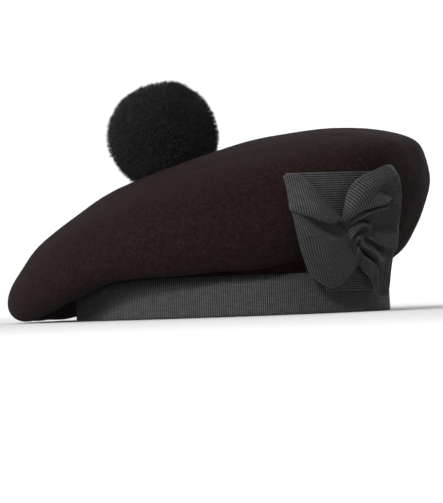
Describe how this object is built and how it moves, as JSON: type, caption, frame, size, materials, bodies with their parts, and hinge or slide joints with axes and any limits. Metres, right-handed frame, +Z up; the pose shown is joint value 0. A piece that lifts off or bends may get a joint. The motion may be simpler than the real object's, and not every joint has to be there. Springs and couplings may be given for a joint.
{
  "type": "balmoral bonnet",
  "caption": "Soft felt bonnet with its crown pulled down to one side, a ribbed ribbon headband, a yarn toorie on top and a gathered ribbon cockade over the band.",
  "frame": {"origin": "middle of the head opening, on the plane of the headband's lower edge, which is the surface that the bonnet rests on", "axes": "+Z up through the crown, +X towards the wearer's left, where the cockade is and the crown stands high, +Y towards the back"},
  "size_m": [0.2587, 0.2465, 0.1439],
  "materials": {
    "felt": "dark maroon wool felt with a short nap",
    "band_ribbon": "charcoal grosgrain ribbon, ribs upright",
    "cockade_ribbon": "charcoal grosgrain ribbon with a low sheen",
    "yarn": "black cut yarn, matt and fuzzy"
  },
  "bodies": {
    "root": {"crown": "felt", "headband": "band_ribbon", "toorie": "yarn", "cockade_backing": "cockade_ribbon", "cockade_bow": "cockade_ribbon"}
  },
  "joints": []
}
